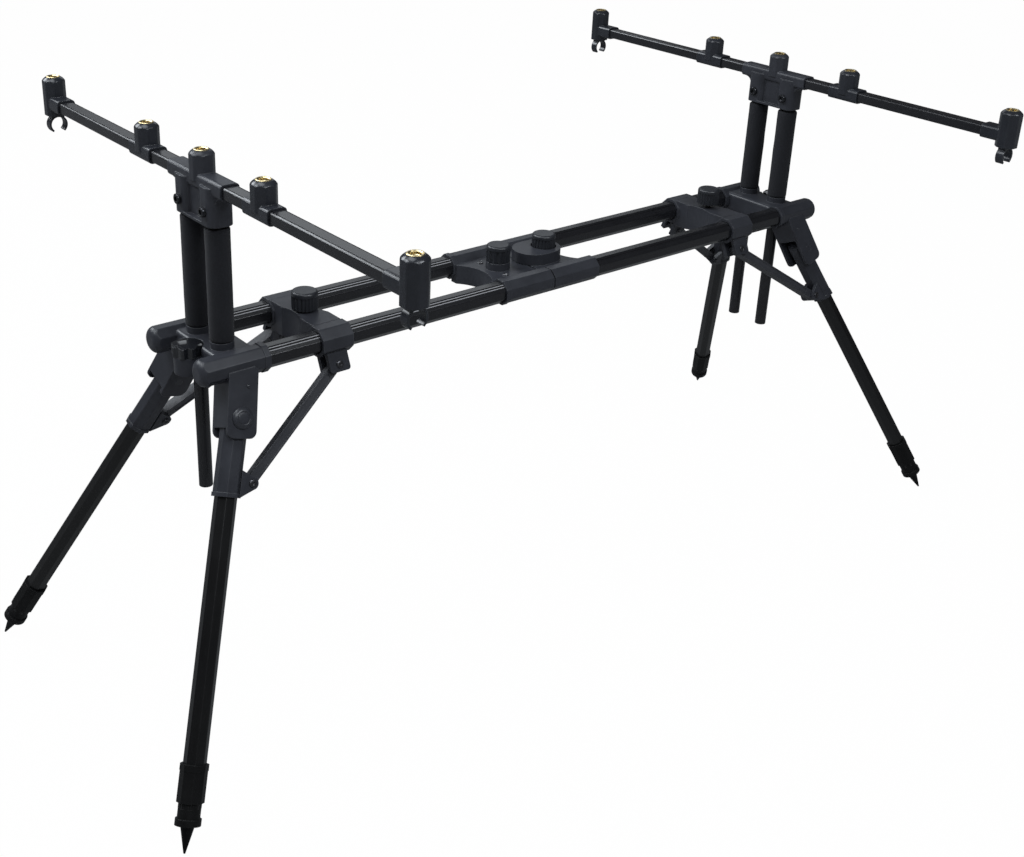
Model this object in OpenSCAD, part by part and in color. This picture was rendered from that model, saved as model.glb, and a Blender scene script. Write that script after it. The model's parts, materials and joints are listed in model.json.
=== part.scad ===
// Rod pod. Two octagonal rails, joined at the middle, carry an upright with a buzz bar at
// each end. Four legs hang from the end brackets in planes that lean outwards, and fold in
// along the rails: a slider on the rails draws each pair of legs in through two struts.
// X runs along the rails, Z is up and the spikes stand on Z = 0.
// The near end is at -X, the far end at +X, the front at -Y and the rear at +Y.

/* [Rails] */
// Between the centre lines of the two rails
rail_spacing = 92; // [86:1:104]
// Across the flats of an outer rail
rail_across = 22.4; // [21:0.2:24]
// Wall of an outer rail
rail_wall = 1.6; // [1.2:0.1:2]
// Rounding of a rail's long edges
rail_round = 1.8; // [1:0.2:2.4]
// Width of the groove along each upper bevel of a rail
groove_wide = 1; // [0.6:0.1:1.6]
// Depth of that groove
groove_deep = 0.6; // [0.3:0.1:0.9]
// Place of that groove above the middle of its bevel
groove_up = 1.6; // [0:0.2:2.4]
// From the centre of the pod to the uprights
upright_x = 403.5; // [390:0.5:430]
// From the centre of the pod to the joint between its halves, towards the near end
seam_off = 12; // [8:1:18]
// Reach of an inner rail into the near half
inner_reach = 250; // [220:5:300]
// Length of an inner rail fixed in the far half
inner_seat = 110; // [80:5:160]
// Wall of an inner rail
inner_wall = 1.4; // [1:0.1:2]

/* [End brackets] */
// Wall of the sleeves round the rails
sleeve_wall = 1.5; // [1.2:0.1:2.2]
// Rounding of the sleeves' long edges
sleeve_round = 2.2; // [1.4:0.2:3]
// From the uprights out to the nose of the caps
cap_out = 40.5; // [38:0.5:48]
// Rounding of the caps round their flat noses
cap_round = 8.5; // [6:0.5:10]
// From the nose of a cap back to the end of its rail
cap_deep = 9; // [8:0.5:12]
// From the uprights in to the lip of the sleeves
sleeve_in = 31.5; // [28:0.5:40]
// Length of the lip at the mouth of a sleeve
lip_long = 6; // [4:0.5:9]
// Height of that lip
lip_high = 0.8; // [0.4:0.1:1.4]
// From the uprights in to the inner face of the bridge
bridge_in = 25; // [20:0.5:27]
// From the uprights out to the outer face of the bridge
bridge_out = 17.5; // [14:0.5:22]
// Height of the bridge
bridge_deep = 28; // [24:0.5:34]
// Depth of the bridge's top below the top of the sleeves
bridge_sink = 3; // [1:0.5:5]
// Diameter of the seats under the foam sleeves
seat_d = 23; // [20:0.5:25]
// Height of those seats
seat_high = 7; // [5:0.5:9]
// From the uprights out to the clamp knob
clamp_out = 25; // [23:0.5:27]
// Diameter of the boss under the clamp knob
clamp_boss_d = 26; // [22:1:30]
// Height of that boss
clamp_boss_high = 18; // [16:0.5:22]
// Room round the clamp knob in its pocket
clamp_room = 1; // [0.5:0.1:2]

/* [Centre coupling] */
// Width of the gap between the two blocks
seam_gap = 1.8; // [0.6:0.1:2.4]
// Length of the near block
near_block_long = 69; // [64:1:80]
// Length of the far block
far_block_long = 67; // [64:1:80]
// Depth of the deck between the sleeves below their top
deck_sink = 7; // [5:0.5:9]
// Depth of the blocks' underside below the rails' centres
block_deep = 16; // [15:0.5:20]
// Radius of the hollow in the outer end of a block
hollow_r = 42; // [38:1:60]
// Depth of that hollow
hollow_deep = 13; // [8:0.5:14]
// From the joint between the halves to each centre knob
centre_knob_off = 33.5; // [32:0.5:36]
// Diameter of the boss under the near centre knob
centre_boss_d = 27; // [24:1:34]
// Width of the raised tongue on the far block
tongue_wide = 46; // [42:1:48]
// Reach of the tongue over the near block
tongue_reach = 6; // [4:1:8]
// Length of the tongue on the far block
tongue_long = 52; // [51:1:60]
// Height of the tongue above the top of the sleeves
tongue_rise = 6; // [4:0.5:8]
// Height of the centre knobs' seats above the top of the sleeves
boss_rise = 1.6; // [0.6:0.2:3]
// Room round the far centre knob in its pocket
tongue_room = 1; // [0.5:0.1:2]

/* [Sliders] */
// Length of a slider's sleeves
slider_long = 35; // [31:1:42]
// Wall of a slider's sleeves
slider_wall = 3.4; // [2.4:0.1:4]
// Depth of a slider's underside below the rails' centres
slider_deep = 17; // [15:0.5:20]
// Radius of the hollow in each end of a slider's bridge
waist_r = 42; // [38:1:60]
// Depth of that hollow
waist_deep = 4; // [2:0.5:5]
// Width of the tabs that carry a strut
tab_wide = 23; // [18:0.5:26]
// Thickness of a tab
tab_thick = 4.6; // [3.6:0.2:5.6]
// Below the leg plane's top to a strut's upper bolt
bolt_drop = 17.5; // [16:0.5:19]
// Height of the tabs in the sleeve, over the leg plane's top
tab_over = 8; // [6:0.5:9]
// From that bolt down to the end of the tabs
tab_end = 7; // [6:0.5:8]
// Diameter of the strut bolts and pins
strut_bolt_d = 5; // [4:0.5:6]
// Diameter of their heads
strut_head_d = 7.6; // [7:0.2:9]
// Height of their heads
strut_head_high = 0.8; // [0.4:0.2:1.6]

/* [Legs] */
// Lean of a leg's plane away from upright, in degrees
leg_tilt = 23.33; // [20:0.01:26]
// Splay of a leg in its plane, in degrees
leg_splay = 22.13; // [20:0.01:25]
// From the pivot to the centre of the spike's tip
leg_length = 391.8; // [380:0.1:395]
// Below the rails' centres to the top of the leg planes
plane_drop = 10; // [8:0.5:12]
// Down the leg plane to the pivot
pivot_drop = 40; // [38:0.5:44]
// From the uprights out to the pivot
pivot_out = 11; // [9:0.5:13]
// Diameter of the pivot bolt
pivot_d = 8; // [6:0.5:9]
// Diameter of its domed head
pivot_head_d = 20.5; // [18:0.5:24]
// Height of that dome
pivot_head_high = 4.2; // [3:0.2:6]
// Across the flats of a leg tube
leg_across = 20; // [18:0.2:21]
// Wall of a leg tube
leg_wall = 1.5; // [1.2:0.1:2]
// Wall of the leg socket
socket_wall = 1.8; // [1.4:0.1:2]
// From the pivot to the mouth of the leg socket
socket_long = 73.5; // [70:0.5:80]
// Depth of the tube in its socket
tube_in = 52; // [44:1:54]
// Lean of a clevis in the leg plane, in degrees
clevis_lean = 17; // [14:0.5:20]
// Width of a clevis
clevis_wide = 30; // [28:0.5:34]
// Height of a clevis over the leg plane's top, before it is cut to the bracket
clevis_over = 8; // [7:0.5:9]
// Thickness of its two cheeks
clevis_wall = 3.4; // [2.8:0.2:4.4]
// From the pivot down to the end of the cheeks
clevis_end = 19; // [17:0.5:22]
// Thickness at the root of the wall behind the leg, its stop
stop_wall = 4.5; // [4:0.1:5.5]
// From the pivot down to the end of that wall
stop_end = 9; // [6:0.5:10]
// From the pivot up to the solid root of the clevis
clevis_root = 18; // [17:0.5:20]
// Along the leg from the pivot to the strut's lower pin
lug_along = 58.6; // [56:0.1:61]
// From the leg's axis to that pin
lug_out = 20.8; // [20:0.1:23]
// Radius of the lug round that pin
lug_r = 6.2; // [5.6:0.2:7]

/* [Struts] */
// Between a strut's two pins
strut_length = 147; // [142:0.5:155]
// Width of a strut
strut_wide = 10; // [9:0.5:11]
// Thickness of a strut
strut_thick = 10.4; // [9:0.2:11]
// Radius of the eyes at its ends
eye_r = 5.8; // [5.2:0.2:6]
// Width of the sunk panel along its sides
panel_wide = 6.4; // [5:0.2:7]
// Depth of that panel
panel_deep = 0.7; // [0.4:0.1:1.2]
// From a pin to the panel's end
panel_off = 14; // [11:0.5:18]

/* [Feet] */
// Length of a spike, tip to flange
spike_long = 25; // [20:0.5:32]
// Diameter of its base
spike_d = 13.5; // [11:0.5:16]
// Radius of its tip
tip_r = 1.1; // [0.8:0.1:1.6]
// Diameter of its stud in the foot
spike_stud_d = 8; // [6:0.5:9]
// Length of that stud
spike_stud_long = 12; // [9:0.5:13]
// Thickness of the flange over the spike
flange_long = 6; // [4:0.5:8]
// Diameter of that flange
flange_d = 24; // [22:0.5:26]
// Length of the round neck above the flange
neck_long = 14; // [11:0.5:18]
// Diameter of the neck
neck_d = 21; // [19:0.5:22]
// Length of the faceted sleeve, with its lip
foot_sleeve_long = 34; // [28:0.5:40]
// Wall of that sleeve
foot_wall = 1.8; // [1.4:0.1:2.2]

/* [Uprights] */
// Between the centre lines of an upright's two poles
pole_spacing = 46; // [42:0.5:48]
// Diameter of a pole
pole_d = 14; // [12:0.5:15]
// Wall of a pole
pole_wall = 1.5; // [1:0.1:2]
// Length of a pole
pole_length = 315; // [300:1:330]
// Diameter of a foam sleeve
foam_d = 24; // [21:0.5:26]
// Length of a foam sleeve
foam_length = 112; // [100:1:118]
// Rounding of a foam sleeve's ends
foam_round = 1.5; // [0.8:0.1:2.5]
// From a foam sleeve's top to the bar bracket
foam_gap = 3; // [0.5:0.5:5]
// Depth of a pole in the bar bracket
pole_in = 22; // [18:0.5:24]

/* [Buzz bars] */
// Width of a bar
bar_wide = 16; // [14:0.5:18]
// Height of a bar
bar_high = 11.5; // [10:0.5:13]
// Rounding of a bar's long edges
bar_round = 2.2; // [1.4:0.2:3]
// From an edge of the bar to the fine groove beside it
bead_wide = 2.4; // [1.8:0.2:3]
// From a bar's middle to its end sockets
end_socket_y = 322; // [300:0.5:340]
// From a bar's middle to its inner sockets
inner_socket_y = 107.3; // [95:0.1:125]
// Wall of the sleeves round a bar
saddle_wall = 2; // [1.6:0.1:2.6]
// Half the length of the bar bracket's sleeve
bracket_half = 49; // [47:0.5:56]
// Length of an inner socket's saddle
saddle_long = 41; // [34:1:48]
// From an end socket's axis to the end of its collar
collar_long = 28; // [24:0.5:34]
// Diameter of the bosses round the poles
boss_d = 26; // [24:0.5:28]
// Rounding of that bracket's upright corners
boss_round = 9.5; // [6:0.5:11.5]
// Thickness of the web between those bosses
web_thick = 15; // [11:0.5:18]
// Height of the rib along the foot of that web
web_foot = 2.5; // [2:0.25:4]
// Radius of the fillets under the bracket's sleeve
fillet_r = 8; // [6:0.5:12.5]
// Height of a bar's centre over the bosses' underside
bar_up = 36.5; // [34:0.5:40]
// Diameter of the cross bolts
cross_d = 6; // [5:0.5:7]
// Height of the cross bolts over the bosses' underside
cross_up = 13.5; // [12:0.5:15]
// Diameter of their heads
cross_head_d = 10; // [9:0.5:11]
// Height of their heads
cross_head_high = 4.5; // [3:0.5:6]

/* [Sockets] */
// Across the flats of a socket
socket_across = 22.7; // [21:0.1:24]
// Rounding of its upright edges
socket_round = 4; // [2:0.25:5]
// Height of a socket's rim over the bar's centre
socket_up = 27.5; // [25:0.5:30]
// Rounding of a socket's shoulders
socket_edge = 9; // [6:0.25:10]
// Depth of an end socket's underside below the bar's centre
socket_down = 13; // [11:0.5:15]
// Diameter of a brass insert
insert_d = 13.5; // [12.5:0.1:14.5]
// Length of a brass insert
insert_long = 14; // [12:0.5:16]
// Height of its rim over the socket
insert_rise = 0.8; // [0.4:0.1:1.2]
// Bore of its thread, 3/8 in BSF
thread_d = 8.3; // [8.2:0.1:9.6]
// Inner diameter of the clip under an end socket
clip_d = 16; // [14:0.5:17]
// Wall of that clip
clip_wall = 2; // [1.6:0.1:2.6]
// From the end socket's underside down to the clip's arch
clip_drop = 0.5; // [0.5:0.5:3]
// Length of that clip along the bar
clip_long = 9; // [7:0.5:14]
// Half the angle of the clip's mouth, in degrees
clip_mouth = 40; // [32:1:48]

/* [Knobs] */
// Diameter of the ribbed knobs
knob_d = 27; // [25:0.5:29]
// Height of the ribbed knobs
knob_high = 19; // [16:0.5:23]
// Height of the plain cap of a ribbed knob
knob_cap = 5; // [4:0.5:7]
// Rounding of that cap
knob_round = 3; // [2:0.25:4]
// Number of ribs
knob_ribs = 22; // [16:1:28]
// Depth between ribs
rib_deep = 1.1; // [0.6:0.1:1.6]
// Number of flutes on the near centre knob
knob_flutes = 12; // [9:1:15]
// Depth of those flutes
flute_deep = 1.8; // [1:0.1:2.4]
// How far the near slider's knob is unscrewed
near_knob_lift = 1.5; // [0:0.5:4]
// How far the far slider's knob is unscrewed
far_knob_lift = 5; // [0:0.5:6]
// Diameter of the clamp knobs
lobe_d = 30; // [27:0.5:31]
// Height of the clamp knobs
lobe_high = 13; // [9:0.5:14]
// Number of lobes
lobes = 8; // [6:1:10]
// Depth between lobes
lobe_deep = 2.4; // [1.4:0.2:3]
// Radius of the clamp knobs' domed tops
knob_dome = 40; // [32:1:60]
// Diameter of the knobs' studs
stud_d = 8; // [6:0.5:9]
// Length of the knobs' studs
stud_long = 11; // [8:0.5:12]

/* [Fits] */
// Gap round a fixed rail, tube or bar
fixed_fit = 0.1; // [0.05:0.05:0.2]
// Gap between pieces that slide past each other
slide_fit = 0.3; // [0.3:0.05:0.5]
// Radial gap of a pin or a pole in its bore
pin_fit = 0.06; // [0.04:0.01:0.09]
// Gap at each side of a leg in its clevis and of a strut in its lug
swing_gap = 0.4; // [0.3:0.05:0.6]

/* [Hidden] */
$fn = 64;

// Overlap of a straight prism with the domed end that it runs into
lap = 1;

moulding = [0.11, 0.115, 0.125];
anodised = [0.07, 0.07, 0.08];
foam = [0.05, 0.05, 0.05];
steel = [0.25, 0.25, 0.27];
brass = [0.83, 0.66, 0.3];

// Heights follow from the legs: the spikes stand on the ground.
pivot_z = tip_r + leg_length * cos(leg_splay) * cos(leg_tilt);
plane_z = pivot_z + pivot_drop * cos(leg_tilt);
rail_z = plane_z + plane_drop;
pivot_x = upright_x + pivot_out;

rail_bore = rail_across - 2 * rail_wall;
bore_round = 0.8;
inner_across = rail_bore - 2 * slide_fit;
sleeve_across = rail_across + 2 * (fixed_fit + sleeve_wall);
slider_across = rail_across + 2 * (slide_fit + slider_wall);
sleeve_top = rail_z + sleeve_across / 2;
cap_x = upright_x + cap_out;
rail_end = cap_x - cap_deep;
bridge_top = sleeve_top - bridge_sink;
bridge_z = bridge_top - bridge_deep;
bridge_half = rail_spacing / 2 - sleeve_across / 4;
clamp_x = upright_x + clamp_out;
clamp_seat = bridge_z + clamp_boss_high;
deck_top = sleeve_top - deck_sink;
block_z = rail_z - block_deep;
knob_seat = sleeve_top + boss_rise;
tongue_top = sleeve_top + tongue_rise;

// The leg's pin, the strut and the slider's bolt close a triangle that places the slider.
lug_x = pivot_x + lug_along * sin(leg_splay) - lug_out * cos(leg_splay);
lug_drop = pivot_drop + lug_along * cos(leg_splay) + lug_out * sin(leg_splay);
strut_rise = asin((lug_drop - bolt_drop) / strut_length);
slider_x = lug_x - strut_length * cos(strut_rise);
slider_top = rail_z + slider_across / 2;
slider_z = rail_z - slider_deep;
tab_inner = strut_thick / 2 + swing_gap;
tab_outer = tab_inner + tab_thick;

hinge_across = leg_across + 2 * (fixed_fit + socket_wall);
cheek_inner = hinge_across / 2 + swing_gap;
cheek_outer = cheek_inner + clevis_wall;
tube_top = socket_long - tube_in;
tip_along = leg_length + tip_r;
foot_along = tip_along - spike_long - flange_long - neck_long - foot_sleeve_long;
tube_end = tip_along - spike_long - flange_long - neck_long + 5;
foot_across = leg_across + 2 * (fixed_fit + foot_wall);

foam_z = bridge_top + seat_high + slide_fit;
boss_z = foam_z + foam_length + foam_gap;
pole_top = boss_z + pole_in;
bar_z = boss_z + bar_up;
rim_z = bar_z + socket_up;
insert_top = rim_z + insert_rise;
socket_out = (socket_across / 2 - socket_round) / cos(22.5) + socket_round;
bar_half = end_socket_y - 2;
clip_r = clip_d / 2;
clip_z = bar_z - socket_down - clip_drop - clip_wall - clip_r;

// Outline of an octagon with a flat at the top and rounded corners
function octagon_points(across, r, steps = 3) = [
    for (k = [0:7], s = [0:steps])
        let (m = 45 * k + 22.5, a = 45 * k + 45 * s / steps, c = (across / 2 - r) / cos(22.5))
            [c * cos(m) + r * cos(a), c * sin(m) + r * sin(a)]
];

// Outline of a rectangle with rounded corners
function rectangle_points(w, h, r, steps = 4) = [
    for (q = [0:3], s = [0:steps])
        let (a = 90 * q + 90 * s / steps,
             cx = (q == 0 || q == 3 ? 1 : -1) * (w / 2 - r),
             cy = (q < 2 ? 1 : -1) * (h / 2 - r))
            [cx + r * cos(a), cy + r * sin(a)]
];

// Outline of a grip with waves round it
function wave_points(d, waves, deep, steps = 6) = [
    for (i = [0:waves * steps - 1])
        let (a = 360 * i / (waves * steps), r = d / 2 - deep / 2 * (1 - cos(waves * a)))
            [r * cos(a), r * sin(a)]
];

module octagon(across, r) {
    polygon(octagon_points(across, r));
}

module rounded_square(side, r) {
    square([side, side - 2 * r], center = true);
    square([side - 2 * r, side], center = true);
    for (x = [-1, 1], y = [-1, 1])
        translate([x, y] * (side / 2 - r))
            circle(r);
}

// An outline in Y and Z, drawn along X
module along_x(x0, x1) {
    translate([x0, 0, 0])
        rotate([90, 0, 90])
            linear_extrude(x1 - x0)
                children();
}

// An outline in X and Z, drawn along Y
module along_y(y0, y1) {
    translate([0, y1, 0])
        rotate([90, 0, 0])
            linear_extrude(y1 - y0)
                children();
}

// Pieces are drawn for the far end and mirrored to the near one.
module at_end(end) {
    if (end < 0)
        mirror([1, 0, 0])
            children();
    else
        children();
}

// Pieces are drawn for the front and mirrored to the rear.
module at_side(side) {
    if (side > 0)
        mirror([0, 1, 0])
            children();
    else
        children();
}

module both_sides() {
    for (side = [-1, 1])
        at_side(side)
            children();
}

module on_rails() {
    for (s = [-1, 1])
        translate([0, s * rail_spacing / 2, rail_z])
            children();
}

module on_poles() {
    for (s = [-1, 1])
        translate([0, s * pole_spacing / 2, 0])
            children();
}

// The leaning plane of a front leg: X along the rails, Y along the pivot, Z up the plane
module leg_plane() {
    translate([0, -rail_spacing / 2, plane_z])
        rotate([-leg_tilt, 0, 0])
            children();
}

// Along the leg from its pivot, which is the origin
module leg_frame() {
    leg_plane()
        translate([pivot_x, 0, -pivot_drop])
            rotate([0, -leg_splay, 0])
                children();
}

// Along the strut from its lower pin, towards -X
module strut_frame() {
    leg_plane()
        translate([lug_x, 0, -lug_drop])
            rotate([0, strut_rise, 0])
                children();
}

// A round plug along -Z from its flat nose, which has a rounded edge
module nose(r, edge, long) {
    rotate_extrude()
        translate([0, -long]) {
            square([r, long - edge]);
            square([r - edge, long]);
            intersection() {
                translate([r - edge, long - edge])
                    circle(edge);
                translate([r - edge, long - edge])
                    square(edge);
            }
        }
}

module rail_section() {
    difference() {
        octagon(rail_across, rail_round);
        octagon(rail_bore, bore_round);
        for (m = [0, 1])
            mirror([m, 0])
                rotate(45)
                    translate([rail_across / 2, groove_up])
                        square([2 * groove_deep, groove_wide], center = true);
    }
}

module rails(x0, x1) {
    color(anodised)
        on_rails()
            along_x(x0, x1)
                rail_section();
}

module inner_rails() {
    color(steel)
        on_rails()
            along_x(-seam_off - inner_reach, -seam_off + inner_seat)
                difference() {
                    octagon(inner_across, bore_round);
                    octagon(inner_across - 2 * inner_wall, bore_round / 2);
                }
}

// Sleeves with rounded caps, a lip at the mouth and the bridge between them
module end_bracket_body() {
    on_rails() {
        along_x(upright_x - sleeve_in, cap_x - cap_round)
            octagon(sleeve_across, sleeve_round);
        intersection() {
            along_x(cap_x - cap_round - lap, cap_x)
                octagon(sleeve_across, sleeve_round);
            translate([cap_x, 0, 0])
                rotate([0, 90, 0])
                    nose(sleeve_across / 2 / cos(22.5), cap_round, cap_round + 2 * lap);
        }
        along_x(upright_x - sleeve_in, upright_x - sleeve_in + lip_long)
            octagon(sleeve_across + 2 * lip_high, sleeve_round);
    }
    along_y(-bridge_half, bridge_half)
        translate([upright_x + (bridge_out - bridge_in) / 2, bridge_z + bridge_deep / 2])
            polygon(rectangle_points(bridge_in + bridge_out, bridge_deep, 4));
    on_poles()
        translate([upright_x, 0, bridge_z + bridge_deep / 2])
            cylinder(d = seat_d, h = bridge_deep / 2 + seat_high);
    translate([clamp_x, 0, bridge_z])
        cylinder(d = clamp_boss_d, h = clamp_boss_high);
}

module end_bracket(end) {
    color(moulding)
        at_end(end)
            difference() {
                end_bracket_body();
                on_rails()
                    along_x(upright_x - sleeve_in - 1, rail_end)
                        octagon(rail_across + 2 * fixed_fit, rail_round);
                on_poles()
                    translate([upright_x, 0, bridge_z - 1])
                        cylinder(d = pole_d + 2 * pin_fit, h = bridge_deep + seat_high + 2);
                translate([clamp_x, 0, clamp_seat])
                    cylinder(d = lobe_d + 2 * clamp_room, h = bridge_deep + seat_high);
                translate([clamp_x, 0, clamp_seat - stud_long - 1])
                    cylinder(d = stud_d + 2 * pin_fit, h = stud_long + 2);
            }
}

// Two cheeks and the wall behind the leg, which stops it, on a solid root that is cut to sit
// under the bracket's sleeve
module clevis() {
    difference() {
        leg_plane()
            translate([pivot_x, 0, -pivot_drop])
                rotate([0, -clevis_lean, 0]) {
                    high = pivot_drop / cos(clevis_lean) + clevis_over;
                    for (y = [-cheek_outer, cheek_inner])
                        along_y(y, y + clevis_wall)
                            difference() {
                                translate([0, (high - clevis_end) / 2])
                                    polygon(rectangle_points(clevis_wide, high + clevis_end, 7));
                                circle(d = pivot_d);
                            }
                    translate([-clevis_wide / 2, -cheek_outer, clevis_root])
                        cube([clevis_wide, 2 * cheek_outer, high - clevis_root - 3]);
                    difference() {
                        translate([clevis_wide / 2 - stop_wall, -cheek_outer, -stop_end])
                            cube([stop_wall, 2 * cheek_outer, clevis_root + stop_end + lap]);
                        rotate([0, clevis_lean - leg_splay, 0])
                            translate([0, -cheek_outer - 1, -clevis_wide])
                                cube([hinge_across / 2 + swing_gap, 2 * cheek_outer + 2, 2 * clevis_wide]);
                    }
                }
        end_bracket_body();
    }
}

module clevises(end) {
    color(moulding)
        at_end(end)
            both_sides()
                clevis();
}

// The domed heads are outside at the near end and inside at the far one.
module pivot_bolts(end) {
    dome = (pow(pivot_head_d / 2, 2) + pow(pivot_head_high, 2)) / (2 * pivot_head_high);
    color(moulding)
        at_end(end)
            both_sides()
                leg_frame()
                    rotate([-90 * end, 0, 0]) {
                        translate([0, 0, -cheek_outer])
                            cylinder(d = pivot_d, h = 2 * cheek_outer);
                        intersection() {
                            translate([0, 0, cheek_outer])
                                cylinder(d = pivot_head_d, h = pivot_head_high);
                            translate([0, 0, cheek_outer + pivot_head_high - dome])
                                sphere(dome);
                        }
                    }
}

// A block of two sleeves and the bridge between them, from the joint out to one side
module centre_block_body(long) {
    on_rails()
        along_x(seam_gap / 2, long)
            octagon(sleeve_across, sleeve_round);
    translate([0, 0, block_z])
        linear_extrude(deck_top - block_z)
            difference() {
                translate([seam_gap / 2, -bridge_half])
                    square([long - 2 - seam_gap / 2, 2 * bridge_half]);
                translate([long - 2 - hollow_deep + hollow_r, 0])
                    circle(hollow_r);
            }
}

module centre_block_bores(long) {
    on_rails()
        along_x(-1, long + 1)
            octagon(rail_across + 2 * fixed_fit, rail_round);
}

module near_centre_block() {
    color(moulding)
        translate([-seam_off, 0, 0])
            mirror([1, 0, 0])
                difference() {
                    union() {
                        centre_block_body(near_block_long);
                        on_rails()
                            along_x(near_block_long - lip_long, near_block_long)
                                octagon(sleeve_across + 2 * lip_high, sleeve_round);
                        translate([centre_knob_off, 0, block_z])
                            cylinder(d = centre_boss_d, h = knob_seat - block_z);
                    }
                    centre_block_bores(near_block_long);
                    translate([centre_knob_off, 0, knob_seat - stud_long - 1])
                        cylinder(d = stud_d + 2 * pin_fit, h = stud_long + 2);
                }
}

module far_centre_block() {
    tip = -tongue_reach + tongue_wide / 2;
    end = tongue_long - tongue_wide / 2;
    color(moulding)
        translate([-seam_off, 0, 0])
            difference() {
                union() {
                    centre_block_body(far_block_long);
                    translate([0, 0, deck_top])
                        linear_extrude(tongue_top - deck_top) {
                            translate([tip, 0])
                                circle(d = tongue_wide);
                            translate([tip, -tongue_wide / 2])
                                square([end - tip, tongue_wide]);
                            translate([end, 0])
                                circle(d = tongue_wide);
                        }
                }
                translate([-tongue_reach - 1, -tongue_wide, deck_top - 1])
                    cube([tongue_reach + 1 + seam_gap / 2, 2 * tongue_wide, 1 + slide_fit]);
                translate([centre_knob_off, 0, knob_seat])
                    cylinder(d = knob_d + 2 * tongue_room, h = tongue_rise);
                centre_block_bores(far_block_long);
                translate([centre_knob_off, 0, knob_seat - stud_long - 1])
                    cylinder(d = stud_d + 2 * pin_fit, h = stud_long + 2);
            }
}

// One pair of tabs, in the leg plane
module tabs() {
    high = bolt_drop + tab_end;
    leg_plane()
        for (y = [-tab_outer, tab_inner])
            along_y(y, y + tab_thick)
                difference() {
                    translate([slider_x, (tab_over - high) / 2])
                        polygon(rectangle_points(tab_wide, high + tab_over, 3));
                    translate([slider_x, -bolt_drop])
                        circle(d = strut_bolt_d);
                }
}

module slider(end) {
    half = slider_long / 2;
    color(moulding)
        at_end(end)
            difference() {
                union() {
                    on_rails()
                        along_x(slider_x - half, slider_x + half)
                            octagon(slider_across, sleeve_round);
                    translate([slider_x, 0, slider_z])
                        linear_extrude(slider_top - slider_z)
                            difference() {
                                square([slider_long - 3, 2 * bridge_half], center = true);
                                for (s = [-1, 1])
                                    translate([s * (half - 1.5 - waist_deep + waist_r), 0])
                                        circle(waist_r);
                            }
                    both_sides()
                        tabs();
                }
                on_rails()
                    along_x(slider_x - half - 1, slider_x + half + 1)
                        octagon(rail_across + 2 * slide_fit, rail_round);
                translate([slider_x, 0, slider_top - stud_long - 1])
                    cylinder(d = stud_d + 2 * pin_fit, h = stud_long + 2);
            }
}

// A bolt end in each tab, with its head outside; the strut's eye lies between them.
module slider_bolts(end) {
    color(steel)
        at_end(end)
            both_sides()
                leg_plane()
                    translate([slider_x, 0, -bolt_drop])
                        for (s = [-1, 1])
                            rotate([-90 * s, 0, 0]) {
                                translate([0, 0, tab_inner])
                                    cylinder(d = strut_bolt_d, h = tab_thick);
                                translate([0, 0, tab_outer])
                                    cylinder(d = strut_head_d, h = strut_head_high);
                            }
}

// A stud in its bore, and the knob over it that is unscrewed by the given lift
module on_stud(lift) {
    color(moulding) {
        translate([0, 0, slide_fit + lift])
            children();
        translate([0, 0, -stud_long])
            cylinder(d = stud_d, h = stud_long + slide_fit + lift + lap);
    }
}

module knob(waves, deep) {
    linear_extrude(knob_high - knob_cap + lap)
        polygon(wave_points(knob_d, waves, deep));
    translate([0, 0, knob_high])
        nose(knob_d / 2, knob_round, knob_cap);
}

module slider_knob(end) {
    translate([end * slider_x, 0, slider_top])
        on_stud(end < 0 ? near_knob_lift : far_knob_lift)
            knob(knob_ribs, rib_deep);
}

module centre_knob(end) {
    translate([-seam_off + end * centre_knob_off, 0, knob_seat])
        on_stud(0)
            knob(end < 0 ? knob_flutes : knob_ribs, end < 0 ? flute_deep : rib_deep);
}

module clamp_knob(end) {
    translate([end * clamp_x, 0, clamp_seat])
        on_stud(0)
            intersection() {
                linear_extrude(lobe_high)
                    polygon(wave_points(lobe_d, lobes, lobe_deep));
                translate([0, 0, lobe_high - knob_dome])
                    sphere(knob_dome);
            }
}

// Hinged socket of a leg: a round head on the pivot, and a forked lug for the strut
module leg_socket(end, side) {
    ear = tab_outer - tab_inner;
    color(moulding)
        at_end(end)
            at_side(side)
                leg_frame()
                    difference() {
                        union() {
                            translate([0, 0, -socket_long])
                                linear_extrude(socket_long)
                                    octagon(hinge_across, rail_round);
                            translate([0, 0, -socket_long])
                                linear_extrude(4)
                                    octagon(hinge_across + 1.6, rail_round);
                            intersection() {
                                linear_extrude(hinge_across)
                                    octagon(hinge_across, rail_round);
                                rotate([90, 0, 0])
                                    cylinder(d = hinge_across, h = 2 * hinge_across, center = true);
                            }
                            for (y = [-tab_outer, tab_inner])
                                along_y(y, y + ear) {
                                    translate([-lug_out, -lug_along])
                                        circle(lug_r);
                                    polygon([
                                        [-hinge_across / 2 + 3, -lug_along + lug_r + 5],
                                        [-lug_out, -lug_along + lug_r],
                                        [-lug_out - lug_r * 0.7, -lug_along - lug_r * 0.7],
                                        [-hinge_across / 2 + 3, -socket_long]
                                    ]);
                                }
                        }
                        translate([0, 0, -socket_long - 1])
                            linear_extrude(tube_in + 1)
                                octagon(leg_across + 2 * fixed_fit, rail_round);
                        rotate([90, 0, 0])
                            cylinder(d = pivot_d + 2 * pin_fit, h = 2 * hinge_across, center = true);
                        translate([-lug_out, 0, -lug_along])
                            rotate([90, 0, 0])
                                cylinder(d = strut_bolt_d, h = 2 * hinge_across, center = true);
                    }
}

module leg_tube(end, side) {
    color(anodised)
        at_end(end)
            at_side(side)
                leg_frame()
                    translate([0, 0, -tube_end])
                        linear_extrude(tube_end - tube_top)
                            difference() {
                                octagon(leg_across, rail_round);
                                octagon(leg_across - 2 * leg_wall, bore_round);
                            }
}

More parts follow.
